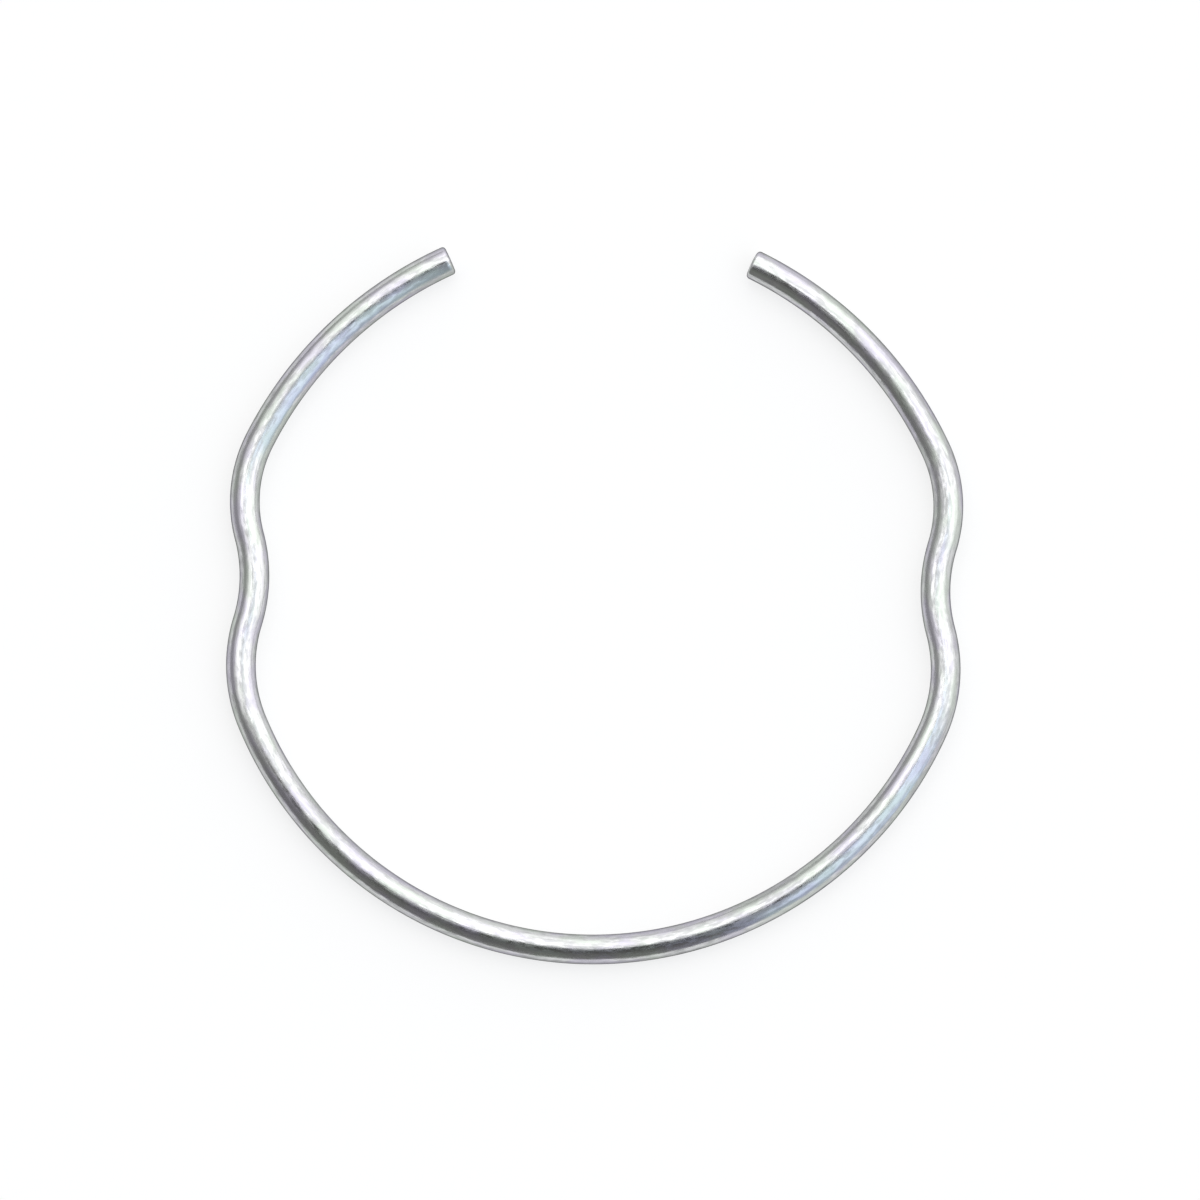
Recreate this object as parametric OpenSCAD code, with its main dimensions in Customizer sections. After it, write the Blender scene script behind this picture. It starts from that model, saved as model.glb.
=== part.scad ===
// Round-wire retaining ring: one length of spring wire bent into an open C that lies flat, with an
// inward kink on each side. The two halves are mirror images about the YZ plane.
// The ring's axis is Z, the wire's centre line lies in the XY plane and the gap faces +Y.

/* [Wire] */
// Diameter of the round wire
wire_d = 2.2; // [1.6:0.1:2.6]
// Edge broken off each cut end, measured along the wire and across it
tip_break = 0.15; // [0.05:0.05:0.4]

/* [Seating arc] */
// Centre-line radius of the long arc that sits in the bottom of the groove
seat_r = 27.5; // [25:0.5:30]
// Half of the angle that the long arc covers, from the ring's lowest point to one side
seat_half_angle = 66.5; // [62:0.5:70]

/* [Kink] */
// Centre-line radius of the bend that leads from the long arc into the kink
lower_shoulder_r = 11; // [8:0.5:14]
// Centre-line radius of the bend at the bottom of the kink
kink_r = 11.5; // [8:0.5:14]
// Angle through which the kink turns the wire back outwards
kink_angle = 32; // [24:1:38]
// Centre-line radius of the bend that leads out of the kink into the arm
upper_shoulder_r = 10; // [7:0.5:13]
// Angle of the bend that leads out of the kink into the arm
upper_shoulder_angle = 42; // [36:1:48]

/* [Arms] */
// Centre-line radius of each arm, between the kink and its cut end
arm_r = 29; // [26:0.5:33]
// Distance between the centres of the two cut ends
tip_spacing = 22.4; // [16:0.2:28]

/* [Hidden] */

$fn = 96;

wire_r = wire_d / 2;

// How far a cutting shape goes past the skin it cuts
cut_margin = 0.2;

function polar(radius, angle) = [radius * cos(angle), radius * sin(angle)];

// Angles about Z, from +X, at which one arc of the right half ends and the next begins
seat_end = seat_half_angle - 90;
kink_half = kink_angle / 2;
arm_start = upper_shoulder_angle - kink_half;

// Two arcs that meet share a tangent there, so both centres and the meeting point lie on one line.
// The bottom bend of the kink curves the other way: its centre lies outside the ring.
lower_shoulder_centre = polar(seat_r - lower_shoulder_r, seat_end);
kink_centre = lower_shoulder_centre + polar(lower_shoulder_r + kink_r, kink_half);
upper_shoulder_centre = kink_centre - polar(kink_r + upper_shoulder_r, -kink_half);
arm_centre = upper_shoulder_centre - polar(arm_r - upper_shoulder_r, arm_start);

// The arm ends where the middle of its cut end is half the spacing away from the YZ plane.
tip_end = acos((tip_spacing / 2 - arm_centre.x) / arm_r);

// Moves the children to a point of the XY plane: to the nearest hundredth first, then by the rest,
// so that neighbouring arcs end in one and the same circle.
module place(at) {
    nearest = [round(at.x * 100) / 100, round(at.y * 100) / 100, 0];
    translate(nearest)
        translate([at.x, at.y, 0] - nearest)
            children();
}

// Wire bent to an arc about a centre, from one angle to another.
module wire_arc(centre, radius, from, to) {
    place(centre)
        rotate_extrude(angle = to - from, start = from)
            translate([radius, 0])
                rotate(90)
                    circle(d = wire_d);
}

// What breaking the edge of the arm's cut end takes away: a ring, triangular in section, round the wire.
module edge_waste() {
    place(arm_centre + polar(arm_r, tip_end))
        rotate([-90, 0, tip_end])
            rotate_extrude()
                polygon([
                    [wire_r - tip_break - cut_margin, cut_margin],
                    [wire_r + cut_margin, -tip_break - cut_margin],
                    [wire_r + cut_margin, cut_margin]
                ]);
}

// Inward kink: shoulder, bottom bend and shoulder, each tangent to the next.
module kink() {
    wire_arc(lower_shoulder_centre, lower_shoulder_r, seat_end, kink_half);
    wire_arc(kink_centre, kink_r, 180 - kink_half, 180 + kink_half);
    wire_arc(upper_shoulder_centre, upper_shoulder_r, -kink_half, arm_start);
}

// Arm: the arc above the kink, up to its cut end with the edge broken all round.
module arm() {
    difference() {
        wire_arc(arm_centre, arm_r, arm_start, tip_end);
        edge_waste();
    }
}

// The long arc from one lower shoulder to the other, through the ring's lowest point.
module seating_arc() {
    wire_arc([0, 0], seat_r, -180 - seat_end, seat_end);
}

module retaining_ring() {
    color([0.74, 0.77, 0.80])
        union() {
            seating_arc();
            for (side = [0, 1])
                mirror([side, 0, 0]) {
                    kink();
                    arm();
                }
        }
}

retaining_ring();
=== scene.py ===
# %% [markdown]
# A retaining ring is one length of round spring wire, bent cold into an open C and then zinc plated.
# It is squeezed, set in a groove and let go, and it holds there by its own spring.
# The CAD model gives its exact size. This lesson dresses that model: a finer wire with true cut ends,
# a plated finish made of nodes, and a small product studio round it.
# The frame is loaded first, and its box is kept, because the dressed ring has to stay inside it.

import bpy
import numpy as np
from mathutils import Matrix, Vector


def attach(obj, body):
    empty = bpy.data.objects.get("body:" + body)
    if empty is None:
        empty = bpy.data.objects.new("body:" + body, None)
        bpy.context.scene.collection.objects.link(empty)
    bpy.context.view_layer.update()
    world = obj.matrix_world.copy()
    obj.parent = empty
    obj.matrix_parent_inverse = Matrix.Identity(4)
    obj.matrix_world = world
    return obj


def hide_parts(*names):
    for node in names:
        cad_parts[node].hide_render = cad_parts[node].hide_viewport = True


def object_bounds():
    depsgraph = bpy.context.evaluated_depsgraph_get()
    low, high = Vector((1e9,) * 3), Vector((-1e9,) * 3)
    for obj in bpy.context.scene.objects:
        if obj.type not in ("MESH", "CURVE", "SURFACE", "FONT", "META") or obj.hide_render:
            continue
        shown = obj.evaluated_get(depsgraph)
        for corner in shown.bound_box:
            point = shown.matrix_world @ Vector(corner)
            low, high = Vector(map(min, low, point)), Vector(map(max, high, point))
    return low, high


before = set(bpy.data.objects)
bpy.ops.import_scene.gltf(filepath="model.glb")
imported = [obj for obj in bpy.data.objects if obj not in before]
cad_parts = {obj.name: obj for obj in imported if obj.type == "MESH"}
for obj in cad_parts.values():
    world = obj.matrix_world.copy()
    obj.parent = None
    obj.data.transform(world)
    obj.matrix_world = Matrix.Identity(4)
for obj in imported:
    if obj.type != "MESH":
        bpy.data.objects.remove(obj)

cad_low, cad_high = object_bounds()
print("CAD box in mm:", [round(1000 * side, 3) for side in cad_high - cad_low])

# %% [markdown]
# The wire's centre line is a chain of bends that meet without a corner, as a bending machine makes it.
# It could be drawn as a curve through measured points, but then every radius would be a guess.
# Here each bend is a radius and an angle, as on a maker's drawing, so a few numbers give the shape.
# The wire's own thickness and the radius of the long arc are read from the CAD box.

# %% Sizes of the bent wire, in metres and radians
MM = 0.001

wire_radius = (cad_high.z - cad_low.z) / 2
seat_radius = -cad_low.y - wire_radius

seat_half_angle = np.radians(66.5)
kink_angle = np.radians(32)
upper_shoulder_angle = np.radians(42)
lower_shoulder_radius = 11 * MM
kink_radius = 11.5 * MM
upper_shoulder_radius = 10 * MM
arm_radius = 29 * MM
tip_spacing = 22.4 * MM

# At the bottom of the kink the wire runs parallel to the Y axis.
lower_shoulder_angle = np.radians(90) + kink_angle / 2 - seat_half_angle
print("wire radius", round(wire_radius / MM, 3), "mm, long arc's radius", round(seat_radius / MM, 3), "mm")

# %% [markdown]
# A point on the centre line could be found by drawing every arc about its own centre. It is simpler to
# walk along the wire and turn with it: the heading at any distance is the sum of the turns so far, and
# the place is the sum of the short steps. Both sums are one numpy call over the whole wire.


# %% Centre line of the right half
def bent_wire(bends, step):
    """Distances, points and headings along a wire that leaves the origin along +X.

    A bend is a radius and an angle, and a positive angle turns left. The heading grows evenly along
    a bend, so one short step is a chord that points along the mean of its two headings, and is
    shorter than its arc by the sine of half the turn over half the turn.
    """
    radii, angles = np.array(bends).T
    lengths = radii * np.abs(angles)
    joints = np.append(0, np.cumsum(np.ceil(lengths / step)))
    joint_distances = np.append(0, np.cumsum(lengths))
    distance = np.interp(np.arange(joints[-1] + 1), joints, joint_distances)
    heading = np.interp(distance, joint_distances, np.append(0, np.cumsum(angles)))
    turn = np.diff(heading)
    mean_heading = heading[:-1] + turn / 2
    chord = np.diff(distance) * np.sinc(turn / (2 * np.pi))
    steps = chord[:, None] * np.column_stack([np.cos(mean_heading), np.sin(mean_heading)])
    points = np.vstack([np.zeros(2), np.cumsum(steps, axis=0)])
    return distance, points, heading


station_step = 0.13 * MM
bends_to_arm = [
    (seat_radius, seat_half_angle),
    (lower_shoulder_radius, lower_shoulder_angle),
    (kink_radius, -kink_angle),
    (upper_shoulder_radius, upper_shoulder_angle),
]
arm_start = bent_wire(bends_to_arm, station_step)[1][-1]
arm_heading = sum(angle for radius, angle in bends_to_arm)

# The arm turns until the middle of its cut end is half the spacing away from the YZ plane.
tip_heading = np.pi - np.arcsin((tip_spacing / 2 - arm_start[0]) / arm_radius + np.sin(arm_heading))
bends = bends_to_arm + [(arm_radius, tip_heading - arm_heading)]
half_distance, half_points, half_heading = bent_wire(bends, station_step)
half_points = half_points - [0, seat_radius]
print("wire length", round(2 * half_distance[-1] / MM, 1), "mm")
print("right cut end at", (half_points[-1] / MM).round(2), "mm")

# %% [markdown]
# The left half is the right half's mirror image, so the two arrays are joined end to end:
# the left one reversed, with its x, its heading and its distance turned negative.
# Distance 0 is then the ring's lowest point, and the wire runs from the left cut end to the right one.

# %% Centre line of the whole ring
distance = np.concatenate([-half_distance[:0:-1], half_distance])
heading = np.concatenate([-half_heading[:0:-1], half_heading])
points = np.vstack([half_points[:0:-1] * [-1, 1], half_points])
print(len(distance), "stations along the wire")

# %% [markdown]
# A cut end isn't a plain disc. The cutter first rolls the wire's edge over, and then the steel breaks
# through, which leaves a face that is a little hollow and uneven and has a soft rim.
# A Bevel modifier would round the rim but leave the face flat. So the end is a surface of its own,
# in the two parameters of the wire's skin: a ring's size and the angle round the wire.

# %% Shape of a cut end
edge_break = 0.15 * MM
edge_rings = 7
face_ring_sizes = np.array([0.9, 0.78, 0.64, 0.48, 0.32, 0.16, 0.04])
hollow_depth = 0.035 * MM

# The largest round edge that stays inside the CAD model's chamfer touches it in the middle.
edge_round = edge_break / (2 - np.sqrt(2))
face_radius = wire_radius - edge_round


def cut_end():
    """Sizes of the rings of a cut end, and how far each lies behind the end plane, from skin to centre.

    The rim is a quarter of a circle of the round edge's radius. The face behind it is a shallow bowl:
    its depth grows with the square of how far a ring is from the rim.
    """
    quarter = np.linspace(0, np.pi / 2, edge_rings)
    rim_size = face_radius + edge_round * np.cos(quarter)
    rim_depth = edge_round * (1 - np.sin(quarter))
    face_depth = hollow_depth * (1 - face_ring_sizes) ** 2
    return np.append(rim_size, face_radius * face_ring_sizes), np.append(rim_depth, face_depth)


end_size, end_depth = cut_end()
print(len(end_size), "rings in each cut end")

# %% [markdown]
# The wire is a round profile carried along the centre line: a grid with the distance along the wire
# on one side and the angle round it on the other. Curve objects can do that too, but a grid also
# says for every point where it lay in the straight wire, before it was bent, and that is what the
# finish needs: a drawing die scores straight wire, and the marks bend with it afterwards.

# %% Sweep the wire
sides = 60


def sweep_wire():
    """Points of the wire's surface, their places in the straight wire, and how much they are cut face.

    A point is the centre line's point, plus the ring's size times the cosine of the angle in the
    outward direction, plus its size times the sine upwards. Outward is the heading turned right.
    The rings of a cut end take the place of the stations that lie within its rounded edge,
    or less than a quarter of a step before it.
    """
    end_rings = len(end_size)
    middle = np.flatnonzero(np.abs(distance) < distance[-1] - edge_round - station_step / 4)
    row = np.concatenate([np.zeros(end_rings, int), middle, np.full(end_rings, len(distance) - 1)])
    size = np.concatenate([end_size[::-1], np.full(len(middle), wire_radius), end_size])
    depth = np.concatenate([end_depth[::-1], np.zeros(len(middle)), -end_depth])

    angle = np.linspace(0, 2 * np.pi, sides, endpoint=False)
    along = np.column_stack([np.cos(heading), np.sin(heading), np.zeros(len(heading))])[row]
    outward = np.column_stack([np.sin(heading), -np.cos(heading), np.zeros(len(heading))])[row]
    centre = np.column_stack([points, np.zeros(len(points))])[row] + depth[:, None] * along
    across = size[:, None] * np.cos(angle)
    up = size[:, None] * np.sin(angle)
    surface = centre[:, None] + across[..., None] * outward[:, None]
    surface[..., 2] += up
    straight = np.stack([np.broadcast_to((distance[row] + depth)[:, None], up.shape), across, up], -1)
    return surface, straight, np.repeat(size < face_radius, sides)


surface, straight_place, cut_share = sweep_wire()
print("grid of", surface.shape[0], "rings of", sides, "points")

# %% [markdown]
# The grid becomes a mesh: four neighbours make a quad, in the order that points its face outwards,
# and the last point on a ring joins the first, so there is no seam. A small polygon closes each pole.
# The places in the straight wire and the cut faces go along as attributes, for the finish to read.


# %% Make the mesh
def grid_faces(rows, columns):
    """Quads of a tube's grid, facing outwards.

    A quad joins a point, the one beyond it on the next ring, that one's neighbour, and its own neighbour.
    """
    i = np.arange(rows - 1)[:, None] * columns
    j = np.arange(columns)[None, :]
    following = (j + 1) % columns
    return np.stack([i + j, i + columns + j, i + columns + following, i + following], -1).reshape(-1, 4)


quads = grid_faces(*surface.shape[:2])
last_ring = (surface.shape[0] - 1) * sides
first_pole = list(range(sides))
last_pole = list(range(last_ring + sides - 1, last_ring - 1, -1))

mesh = bpy.data.meshes.new("spring_wire")
mesh.from_pydata(surface.reshape(-1, 3).tolist(), [], quads.tolist() + [first_pole, last_pole])
mesh.shade_smooth()

straight_attribute = mesh.attributes.new("straight_wire", "FLOAT_VECTOR", "POINT")
straight_attribute.data.foreach_set("vector", straight_place.astype(np.float32).ravel())
cut_attribute = mesh.attributes.new("cut_face", "FLOAT", "POINT")
cut_attribute.data.foreach_set("value", cut_share.astype(np.float32))

spring_wire = bpy.data.objects.new("spring_wire", mesh)
bpy.context.scene.collection.objects.link(spring_wire)
print(2 * len(quads) + 2 * (sides - 2), "triangles")

# %% [markdown]
# The new wire stands for the CAD ring, which stays behind it unseen for the physics. It has no joint,
# so it rides on the root body. A finer surface must not change the part's size, so a share of the CAD
# ring's points is compared with the skin of the swept wire. Points nearest a cut end are left out,
# because the broken edge and the face lie behind that skin.

# %% Seat it on the frame
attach(spring_wire, "root")
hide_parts("retaining_ring")

test_every = 7
cad_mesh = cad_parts["retaining_ring"].data
cad_points = np.empty(len(cad_mesh.vertices) * 3, np.float32)
cad_mesh.vertices.foreach_get("co", cad_points)
test_points = cad_points.reshape(-1, 3)[::test_every]
to_stations = np.linalg.norm(test_points[:, None, :2] - points[None], axis=2)
nearest = to_stations.argmin(axis=1)
along_wire = (nearest > 0) & (nearest < len(points) - 1)
from_skin = np.abs(np.hypot(to_stations.min(axis=1), test_points[:, 2]) - wire_radius)
print("the new skin is within", round(float(from_skin[along_wire].max()) / MM, 4), "mm of the CAD skin")

# %% [markdown]
# A finish is a small calculation that runs at every point of the surface, and Blender draws it as nodes.
# Long sums are hard to read as nodes, so a value that comes out of a node is wrapped in a class here,
# and Python's own plus, minus and times then add the Math nodes.


# %% Values that calculate
class Value:
    """A node's output in a Python expression. Each operator adds one Math node and gives its output."""

    def __init__(self, socket):
        self.socket = socket

    def calculate(self, operation, *others):
        inputs = dict(enumerate([self, *others]))
        return add_node(self.socket.id_data, "ShaderNodeMath", {"operation": operation}, inputs)

    def __add__(self, other):
        return self.calculate("ADD", other)

    def __mul__(self, other):
        return self.calculate("MULTIPLY", other)

    def __rsub__(self, other):
        return self * -1 + other

    __radd__ = __add__


def add_node(tree, kind, settings, inputs, output=0):
    """Adds a node: its settings first, then each input's value or link. Returns one output as a Value."""
    node = tree.nodes.new(kind)
    for name, setting in settings.items():
        setattr(node, name, setting)
    for name, value in inputs.items():
        if isinstance(value, Value):
            tree.links.new(value.socket, node.inputs[name])
        else:
            node.inputs[name].default_value = value
    return Value(node.outputs[output])


# %% [markdown]
# Every mark on drawn and plated wire is a noise that is stretched along the wire, and differs from the
# next only in how fine it is. Painted textures could show the same marks, but they would blur in a
# close view. Three small helpers are enough: a noise, a soft step that turns it into patches, and a mix.


# %% Patterns on the wire
def noise(tree, place, repeats, detail):
    """Noise from 0 to 1 that repeats so many times in a metre: along the wire, across it, upwards."""
    mapping = {"Vector": place, "Scale": repeats}
    stretched = add_node(tree, "ShaderNodeMapping", {"vector_type": "POINT"}, mapping)
    return add_node(tree, "ShaderNodeTexNoise", {}, {"Vector": stretched, "Scale": 1.0, "Detail": detail})


def smooth_step(tree, value, low, high):
    """0 below low, 1 above high, and a soft ramp between them."""
    inputs = {"Value": value, "From Min": low, "From Max": high}
    return add_node(tree, "ShaderNodeMapRange", {"interpolation_type": "SMOOTHSTEP"}, inputs)


def mix_color(tree, share, first, second):
    """The first colour where share is 0, the second where it is 1. A Mix node takes colours at 6 and 7."""
    return add_node(tree, "ShaderNodeMix", {"data_type": "RGBA"}, {0: share, 6: first, 7: second}, output=2)


# %% [markdown]
# Bright zinc over drawn steel has four things that a plain metal shader lacks. The drawing die leaves
# long fine lines, which break a reflection into streaks. Between them the zinc is mottled: bright specks
# beside duller, rougher ones. The passivation on top is a film a fraction of a micrometre thick, which
# tints the metal faintly violet in some places and green in others. And the cut faces are torn steel
# with shear lines down them, so they are rough and patchy.
# The patterns are read in the straight wire's coordinates, and those of the plating are longer along
# the wire than across it. Each changes only the colour, the roughness or the bump's height, so it
# looks right in any light.

# %% Colours of zinc and torn steel
zinc_bright = (0.66, 0.665, 0.67, 1)
zinc_dull = (0.44, 0.445, 0.45, 1)
zinc_violet = (0.545, 0.515, 0.62, 1)
zinc_green = (0.545, 0.60, 0.535, 1)
film_share = 0.55
cut_bright = (0.525, 0.525, 0.53, 1)
cut_dull = (0.335, 0.335, 0.34, 1)

# A metal brightens towards white where the surface turns away. Zinc with a film on it stays grey there.
rim_tint = (0.2, 0.2, 0.2, 1)
print("dull zinc mirrors", round(zinc_dull[0] / zinc_bright[0], 2), "of what bright zinc does")

# %% [markdown]
# Each pattern's fineness is given as repeats in a metre, so 5000 is a speck every fifth of a millimetre.
# A bump's height is in metres too: a few micrometres are enough to bend a reflection, because it is the
# slope that counts, and the patterns are narrow. A noise becomes patches where it climbs from the first
# number of a pair to the second.

# %% Fineness and depth of the marks
draw_line_repeats = (60, 3000, 3000)
fine_line_repeats = (320, 14000, 14000)
mottle_repeats = (1400, 5200, 5200)
film_repeats = (300, 900, 900)
break_repeats = (5000, 5000, 5000)
shear_repeats = (2000, 12000, 1500)

draw_line_depth = 1.3e-5
fine_line_depth = 4.0e-6
mottle_depth = 7.0e-6
break_depth = 3.0e-5
shear_depth = 1.5e-5

polished_roughness = 0.10
dull_roughness = 0.18
line_roughness = 0.10
cut_roughness = 0.25

dull_patches = (0.38, 0.62)
film_patches = (0.50, 0.64)
torn_patches = (0.36, 0.64)
mottle_share = 0.5
broken_share = 0.6
print("specks are", round(1 / (mottle_repeats[1] * MM), 2), "mm wide and",
      round(1 / (mottle_repeats[0] * MM), 2), "mm long")

# %% [markdown]
# The finish adds the patterns up. Half mottle and half draw lines decide where the zinc is dull, and
# dull zinc is darker and rougher. One slow noise lays both films, violet where it is high and green
# where it is low. On the cut faces all of this gives way to torn steel.


# %% Zinc plating
def zinc_plating():
    """The finish of the whole ring."""
    material = bpy.data.materials.new("zinc_plated_wire")
    material.use_nodes = True
    tree = material.node_tree
    shader = tree.nodes["Principled BSDF"]
    place = add_node(tree, "ShaderNodeAttribute", {"attribute_name": "straight_wire"}, {}, output="Vector")
    cut = add_node(tree, "ShaderNodeAttribute", {"attribute_name": "cut_face"}, {}, output="Fac")

    draw_lines = noise(tree, place, draw_line_repeats, detail=2.0)
    fine_lines = noise(tree, place, fine_line_repeats, detail=2.0)
    mottle = noise(tree, place, mottle_repeats, detail=3.0)
    clouds = noise(tree, place, film_repeats, detail=2.0)
    broken = noise(tree, place, break_repeats, detail=4.0)
    shear_lines = noise(tree, place, shear_repeats, detail=2.0)

    dullness = smooth_step(tree, mottle * mottle_share + draw_lines * (1 - mottle_share), *dull_patches)
    zinc = mix_color(tree, dullness, zinc_bright, zinc_dull)
    violet_film = smooth_step(tree, clouds, *film_patches) * film_share
    green_film = smooth_step(tree, 1 - clouds, *film_patches) * film_share
    filmed = mix_color(tree, green_film, mix_color(tree, violet_film, zinc, zinc_violet), zinc_green)
    torn = smooth_step(tree, broken * broken_share + shear_lines * (1 - broken_share), *torn_patches)
    color = mix_color(tree, cut, filmed, mix_color(tree, torn, cut_bright, cut_dull))

    zinc_roughness = polished_roughness + dullness * dull_roughness + fine_lines * line_roughness
    roughness = zinc_roughness + cut * cut_roughness

    plating = draw_lines * draw_line_depth + fine_lines * fine_line_depth + mottle * mottle_depth
    broken_steel = broken * break_depth + shear_lines * shear_depth
    height = plating * (1 - cut) + broken_steel * cut
    bump = add_node(tree, "ShaderNodeBump", {}, {"Height": height, "Distance": 1.0}, output="Normal")

    shader.inputs["Metallic"].default_value = 1
    shader.inputs["Specular Tint"].default_value = rim_tint
    tree.links.new(color.socket, shader.inputs["Base Color"])
    tree.links.new(roughness.socket, shader.inputs["Roughness"])
    tree.links.new(bump.socket, shader.inputs["Normal"])
    return material


mesh.materials.append(zinc_plating())
print("zinc plating has", len(mesh.materials[0].node_tree.nodes), "nodes")

# %% [markdown]
# The ring lies on plain white paper. A strong lamp could burn the paper out to white, but it would burn
# the metal too. So the paper is pale by its own colour, and a share of it is pure white to whoever looks
# at it, the camera or the metal. The rest is lit paper, which keeps the soft shadow under the wire.

# %% Floor
floor_half_width = 4.0
floor_height = -wire_radius
corners = [
    (-floor_half_width, -floor_half_width, floor_height),
    (floor_half_width, -floor_half_width, floor_height),
    (floor_half_width, floor_half_width, floor_height),
    (-floor_half_width, floor_half_width, floor_height),
]
floor_mesh = bpy.data.meshes.new("floor")
floor_mesh.from_pydata(corners, [], [(0, 1, 2, 3)])
floor = bpy.data.objects.new("floor", floor_mesh)
bpy.context.scene.collection.objects.link(floor)


def white_floor(paper_color, white_share):
    """White paper. To the camera and in the metal, a share of it is pure white, so its shadow is pale.

    The share of white is white_share times the sum of the three kinds of ray, of which one at most is 1.
    """
    material = bpy.data.materials.new("white_floor")
    material.use_nodes = True
    tree = material.node_tree
    shader = tree.nodes["Principled BSDF"]
    shader.inputs["Base Color"].default_value = paper_color
    shader.inputs["Roughness"].default_value = 1
    shader.inputs["Specular IOR Level"].default_value = 0
    seen = add_node(tree, "ShaderNodeLightPath", {}, {}, output="Is Camera Ray")
    for ray in ("Is Glossy Ray", "Is Transmission Ray"):
        seen = seen + add_node(tree, "ShaderNodeLightPath", {}, {}, output=ray)
    white = add_node(tree, "ShaderNodeEmission", {}, {"Color": (1, 1, 1, 1), "Strength": 1.0})
    paper = Value(shader.outputs["BSDF"])
    mixed = add_node(tree, "ShaderNodeMixShader", {}, {0: seen * white_share, 1: paper, 2: white})
    tree.links.new(mixed.socket, tree.nodes["Material Output"].inputs["Surface"])
    return material


floor_mesh.materials.append(white_floor(paper_color=(0.95, 0.95, 0.95, 1), white_share=0.75))
print("floor is", 2 * floor_half_width, "m wide and lies at", round(floor_height / MM, 2), "mm")

# %% [markdown]
# Polished wire is drawn by what it mirrors, so the lights are shapes as much as they are lights.
# A softbox hangs over the far right. It gives the long highlight and throws the shadow to the near left.


# %% Softbox
def softbox(name, low, high, height, radiance):
    """A white rectangular lamp that faces straight down.

    Its low and high corners are shares of its height. Its power is its radiance times pi times its
    area.
    """
    lamp = bpy.data.lights.new(name, "AREA")
    lamp.shape = "RECTANGLE"
    lamp.size = (high[0] - low[0]) * height
    lamp.size_y = (high[1] - low[1]) * height
    lamp.energy = radiance * np.pi * lamp.size * lamp.size_y
    thing = bpy.data.objects.new(name, lamp)
    middle = Vector(((low[0] + high[0]) / 2, (low[1] + high[1]) / 2, 1)) * height
    thing.matrix_world = Matrix.Translation(middle)
    thing.visible_camera = False
    bpy.context.scene.collection.objects.link(thing)
    print(name, "is", round(lamp.size, 2), "by", round(lamp.size_y, 2), "m and takes",
          round(lamp.energy, 1), "W")


softbox("far_right_softbox", low=(-0.5, 0.04), high=(1.1, 1.15), height=1.2, radiance=0.285)

# %% [markdown]
# Round the ring stands a white light tent, and it is the world itself: a colour for every direction.
# Its top is bright and leans to the far right. Its near left is open, so every stretch of wire that
# faces near left has a dark side. Its near right wall is bluish, as a wall by a window is.
# White and black cards would give the same mirror image, but their edges would show in other views.
# An edge of the tent is soft: it climbs from the first number of a pair to the second.

# %% Directions and colours of the tent
opening_bearing = -113
opening_edge = (0.70, 0.79)
opening_tip = (0.05, 0.14, 0.0)
tip_fade = (0.05, 0.23)
blue_wall_bearing = -52
blue_wall_edge = (0.88, 0.95)
top_lean = (0.47, 0.38, 1.0)
top_edge = (0.0, 1.0)

opening_low = (0.23, 0.23, 0.225, 1)
opening_high = (0.05, 0.05, 0.048, 1)
white_wall_low = (0.40, 0.40, 0.40, 1)
white_wall_high = (1.69, 1.69, 1.69, 1)
blue_wall_low = (0.63, 0.73, 0.91, 1)
blue_wall_high = (1.12, 1.27, 1.44, 1)


def compass(degrees):
    """A level direction of length 1. 0 is +X, the picture's right, and 90 is +Y, the picture's top."""
    angle = np.radians(degrees)
    return np.cos(angle), np.sin(angle), 0.0


print("the tent opens towards", np.round(compass(opening_bearing), 2))

# %% [markdown]
# Two directions of length 1 have a dot product that says how close they are: 1 for the same, 0 for
# square to each other. A soft step on it cuts a patch out of the sky, and the tent is three such steps.


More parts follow.
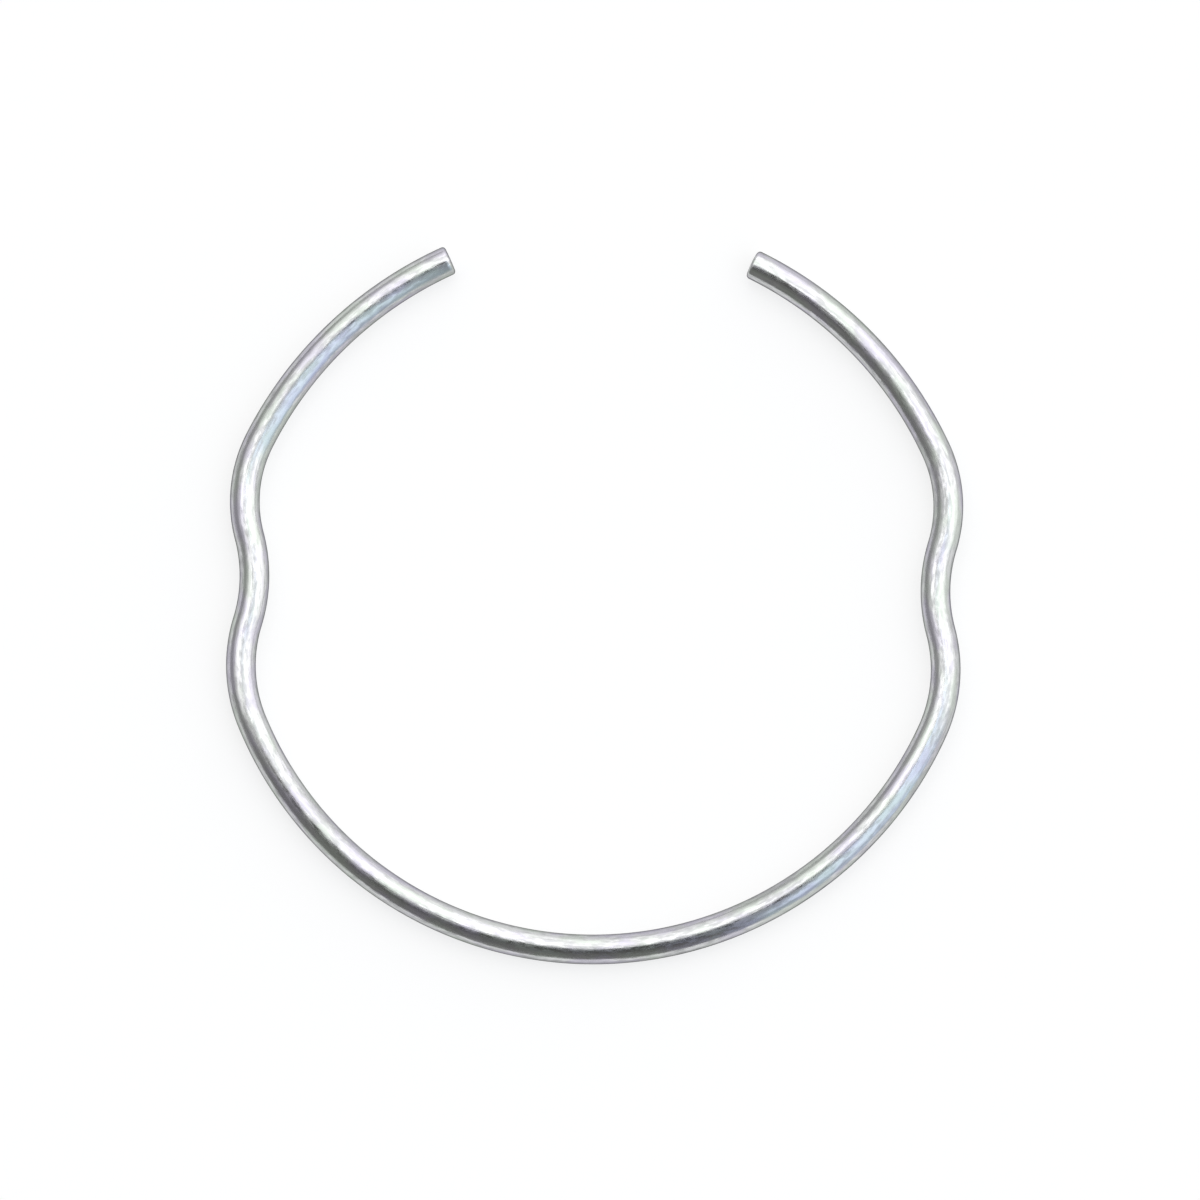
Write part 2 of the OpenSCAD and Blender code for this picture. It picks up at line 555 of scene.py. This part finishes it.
# %% Light tent
def light_tent():
    """A world that is white above and round three sides, with a dark opening on the near left.

    The opening is a wedge of compass directions. So the direction, less the wedge's tip, is laid flat
    and brought to length 1, and then compared with the middle of the wedge by a dot product.
    The wedge's tip is rounded off: the opening fades in with the distance from it.
    The walls grow brighter towards the top, and the whole tent leans to the far right.
    """
    world = bpy.data.worlds.new("light_tent")
    world.use_nodes = True
    tree = world.node_tree

    def vector(operation, first, second, output="Vector"):
        settings = {"operation": operation}
        return add_node(tree, "ShaderNodeVectorMath", settings, {0: first, 1: second}, output)

    def towards(first, second, edge):
        """A soft step on the dot product of two directions."""
        return smooth_step(tree, vector("DOT_PRODUCT", first, second, "Value"), *edge)

    direction = add_node(tree, "ShaderNodeTexCoord", {}, {}, output="Generated")
    flat = vector("MULTIPLY", vector("SUBTRACT", direction, opening_tip), (1, 1, 0))
    bearing = vector("NORMALIZE", flat, (0, 0, 0))
    from_tip = vector("LENGTH", flat, (0, 0, 0), "Value")
    in_wedge = towards(bearing, compass(opening_bearing), opening_edge)
    in_opening = in_wedge * smooth_step(tree, from_tip, *tip_fade)
    in_blue_wall = towards(bearing, compass(blue_wall_bearing), blue_wall_edge)
    top = towards(direction, top_lean, top_edge)

    opening = mix_color(tree, top, opening_low, opening_high)
    white_wall = mix_color(tree, top, white_wall_low, white_wall_high)
    blue_wall = mix_color(tree, top, blue_wall_low, blue_wall_high)
    wall = mix_color(tree, in_blue_wall, white_wall, blue_wall)
    color = mix_color(tree, in_opening, wall, opening)
    tree.links.new(color.socket, tree.nodes["Background"].inputs["Color"])
    bpy.context.scene.world = world
    print("light tent has", len(tree.nodes), "nodes")


light_tent()

# %% [markdown]
# The camera looks almost straight down. In the picture the ring is turned by one degree and a little
# narrower along one diagonal, which is what a lean of six degrees does. A lens of normal length
# would also make the near side larger, so the camera stands far away with a long lens.

# %% Camera
picture_pixels = 1200
ring_centre_pixel = (594.8, 578.6)
metres_per_pixel = 54 * MM / 730
picture_turn = np.radians(0.99)
lean = np.radians(6)
lean_direction = np.radians(-48)
camera_distance = 3.0

off_centre = Vector((
    picture_pixels / 2 - ring_centre_pixel[0],
    ring_centre_pixel[1] - picture_pixels / 2,
    0,
)) * metres_per_pixel
turned = Matrix.Rotation(picture_turn, 4, "Z")
target = turned @ off_centre
lean_axis = Vector((-np.sin(lean_direction), np.cos(lean_direction), 0))
leaned = Matrix.Rotation(lean, 4, lean_axis)

camera_data = bpy.data.cameras.new("camera")
camera_data.lens = camera_data.sensor_width * camera_distance / (picture_pixels * metres_per_pixel)
camera = bpy.data.objects.new("camera", camera_data)
stand_off = Matrix.Translation((0, 0, camera_distance))
camera.matrix_world = Matrix.Translation(target) @ leaned @ turned @ stand_off
bpy.context.scene.collection.objects.link(camera)
bpy.context.scene.camera = camera
bpy.context.scene.view_settings.view_transform = "Standard"
print("camera stands at", [round(x, 3) for x in camera.matrix_world.translation], "m")
print("its lens has", round(camera_data.lens), "mm")
